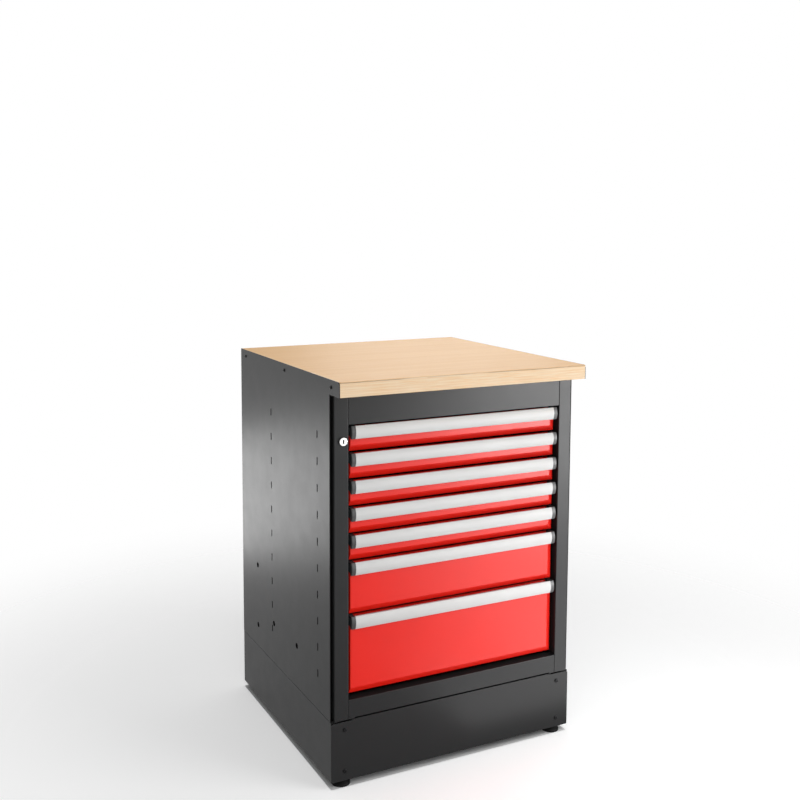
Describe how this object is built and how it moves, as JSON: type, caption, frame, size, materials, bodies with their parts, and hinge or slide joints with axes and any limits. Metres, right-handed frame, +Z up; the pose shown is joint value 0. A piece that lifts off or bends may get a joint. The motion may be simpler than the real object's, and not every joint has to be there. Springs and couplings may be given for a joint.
{
  "type": "drawer base cabinet",
  "caption": "Floor-standing steel drawer cabinet on a plinth with levelling feet, beech worktop, full-width handle strips, telescopic drawer slides and a central lock bar.",
  "frame": {"origin": "on the floor, under the middle of the cabinet's outer box", "axes": "+Z up, +X to the right as seen from the front, drawers open towards -Y"},
  "size_m": [0.7334, 0.7394, 1.0589],
  "materials": {
    "carcass": "anthracite semi-gloss powder coat, fine orange peel",
    "drawer_red": "red semi-gloss powder coat",
    "drawer_box": "anthracite powder coat",
    "handle_aluminium": "satin anodised, drawn lengthwise",
    "cap_plastic": "moulded, fine grain",
    "beech_board": "lacquered beech plywood, layers on the edges",
    "zinc_slide": "bright zinc plate",
    "lock_chrome": "polished nickel",
    "foot_plastic": "moulded black plastic",
    "black_screw": "black zinc plate"
  },
  "bodies": {
    "cabinet": {"side_panel_left": "carcass", "side_panel_right": "carcass", "front_frame": "carcass", "floor_panel": "carcass", "top_panel": "carcass", "back_panel": "carcass", "worktop": "beech_board", "plinth_front": "carcass", "plinth_surround": "carcass", "slide_outer_rails": "zinc_slide", "lock_housing": "lock_chrome", "screws": "black_screw"},
    "drawer_1": {"drawer_1_box": "drawer_box", "drawer_1_front": "drawer_red", "drawer_1_handle": "handle_aluminium", "drawer_1_handle_caps": "cap_plastic", "drawer_1_slide_inner": "zinc_slide"},
    "slide_middle_1": {"drawer_1_slide_middle": "zinc_slide"},
    "drawer_2": {"drawer_2_box": "drawer_box", "drawer_2_front": "drawer_red", "drawer_2_handle": "handle_aluminium", "drawer_2_handle_caps": "cap_plastic", "drawer_2_slide_inner": "zinc_slide"},
    "slide_middle_2": {"drawer_2_slide_middle": "zinc_slide"},
    "drawer_3": {"drawer_3_box": "drawer_box", "drawer_3_front": "drawer_red", "drawer_3_handle": "handle_aluminium", "drawer_3_handle_caps": "cap_plastic", "drawer_3_slide_inner": "zinc_slide"},
    "slide_middle_3": {"drawer_3_slide_middle": "zinc_slide"},
    "drawer_4": {"drawer_4_box": "drawer_box", "drawer_4_front": "drawer_red", "drawer_4_handle": "handle_aluminium", "drawer_4_handle_caps": "cap_plastic", "drawer_4_slide_inner": "zinc_slide"},
    "slide_middle_4": {"drawer_4_slide_middle": "zinc_slide"},
    "drawer_5": {"drawer_5_box": "drawer_box", "drawer_5_front": "drawer_red", "drawer_5_handle": "handle_aluminium", "drawer_5_handle_caps": "cap_plastic", "drawer_5_slide_inner": "zinc_slide"},
    "slide_middle_5": {"drawer_5_slide_middle": "zinc_slide"},
    "drawer_6": {"drawer_6_box": "drawer_box", "drawer_6_front": "drawer_red", "drawer_6_handle": "handle_aluminium", "drawer_6_handle_caps": "cap_plastic", "drawer_6_slide_inner": "zinc_slide"},
    "slide_middle_6": {"drawer_6_slide_middle": "zinc_slide"},
    "drawer_7": {"drawer_7_box": "drawer_box", "drawer_7_front": "drawer_red", "drawer_7_handle": "handle_aluminium", "drawer_7_handle_caps": "cap_plastic", "drawer_7_slide_inner": "zinc_slide"},
    "slide_middle_7": {"drawer_7_slide_middle": "zinc_slide"},
    "lock_barrel": {"lock_barrel": "lock_chrome"},
    "lock_bar": {"lock_bar": "zinc_slide"},
    "foot_front_left": {"foot_front_left": "foot_plastic"},
    "foot_front_right": {"foot_front_right": "foot_plastic"},
    "foot_rear_left": {"foot_rear_left": "foot_plastic"},
    "foot_rear_right": {"foot_rear_right": "foot_plastic"}
  },
  "joints": [
    {"name": "drawer_1_slide", "type": "slide", "parent": "cabinet", "child": "drawer_1", "axis": [0, -1, 0], "range_m": [0, 0.55]},
    {"name": "slide_middle_1_run", "type": "slide", "parent": "cabinet", "child": "slide_middle_1", "axis": [0, -1, 0], "range_m": [0, 0.275]},
    {"name": "drawer_2_slide", "type": "slide", "parent": "cabinet", "child": "drawer_2", "axis": [0, -1, 0], "range_m": [0, 0.55]},
    {"name": "slide_middle_2_run", "type": "slide", "parent": "cabinet", "child": "slide_middle_2", "axis": [0, -1, 0], "range_m": [0, 0.275]},
    {"name": "drawer_3_slide", "type": "slide", "parent": "cabinet", "child": "drawer_3", "axis": [0, -1, 0], "range_m": [0, 0.55]},
    {"name": "slide_middle_3_run", "type": "slide", "parent": "cabinet", "child": "slide_middle_3", "axis": [0, -1, 0], "range_m": [0, 0.275]},
    {"name": "drawer_4_slide", "type": "slide", "parent": "cabinet", "child": "drawer_4", "axis": [0, -1, 0], "range_m": [0, 0.55]},
    {"name": "slide_middle_4_run", "type": "slide", "parent": "cabinet", "child": "slide_middle_4", "axis": [0, -1, 0], "range_m": [0, 0.275]},
    {"name": "drawer_5_slide", "type": "slide", "parent": "cabinet", "child": "drawer_5", "axis": [0, -1, 0], "range_m": [0, 0.55]},
    {"name": "slide_middle_5_run", "type": "slide", "parent": "cabinet", "child": "slide_middle_5", "axis": [0, -1, 0], "range_m": [0, 0.275]},
    {"name": "drawer_6_slide", "type": "slide", "parent": "cabinet", "child": "drawer_6", "axis": [0, -1, 0], "range_m": [0, 0.55]},
    {"name": "slide_middle_6_run", "type": "slide", "parent": "cabinet", "child": "slide_middle_6", "axis": [0, -1, 0], "range_m": [0, 0.275]},
    {"name": "drawer_7_slide", "type": "slide", "parent": "cabinet", "child": "drawer_7", "axis": [0, -1, 0], "range_m": [0, 0.55]},
    {"name": "slide_middle_7_run", "type": "slide", "parent": "cabinet", "child": "slide_middle_7", "axis": [0, -1, 0], "range_m": [0, 0.275]},
    {"name": "lock_turn", "type": "hinge", "parent": "cabinet", "child": "lock_barrel", "pos_m": [-0.3325, -0.31665, 0.902], "axis": [0, -1, 0], "range_deg": [0, 90]},
    {"name": "lock_bar_run", "type": "slide", "parent": "cabinet", "child": "lock_bar", "axis": [0, 0, -1], "range_m": [0, 0.012]},
    {"name": "level_front_left", "type": "hinge", "parent": "cabinet", "child": "foot_front_left", "pos_m": [-0.3265, -0.28765, 0], "axis": [0, 0, 1], "continuous": true},
    {"name": "level_front_right", "type": "hinge", "parent": "cabinet", "child": "foot_front_right", "pos_m": [0.3265, -0.28765, 0], "axis": [0, 0, 1], "continuous": true},
    {"name": "level_rear_left", "type": "hinge", "parent": "cabinet", "child": "foot_rear_left", "pos_m": [-0.3265, 0.32335, 0], "axis": [0, 0, 1], "continuous": true},
    {"name": "level_rear_right", "type": "hinge", "parent": "cabinet", "child": "foot_rear_right", "pos_m": [0.3265, 0.32335, 0], "axis": [0, 0, 1], "continuous": true}
  ],
  "couplings": [
    {"joint": "slide_middle_1_run", "follows": "drawer_1_slide", "ratio": 0.5},
    {"joint": "slide_middle_2_run", "follows": "drawer_2_slide", "ratio": 0.5},
    {"joint": "slide_middle_3_run", "follows": "drawer_3_slide", "ratio": 0.5},
    {"joint": "slide_middle_4_run", "follows": "drawer_4_slide", "ratio": 0.5},
    {"joint": "slide_middle_5_run", "follows": "drawer_5_slide", "ratio": 0.5},
    {"joint": "slide_middle_6_run", "follows": "drawer_6_slide", "ratio": 0.5},
    {"joint": "slide_middle_7_run", "follows": "drawer_7_slide", "ratio": 0.5},
    {"joint": "lock_turn", "follows": "lock_bar_run", "rad_per_m": 130.89}
  ]
}
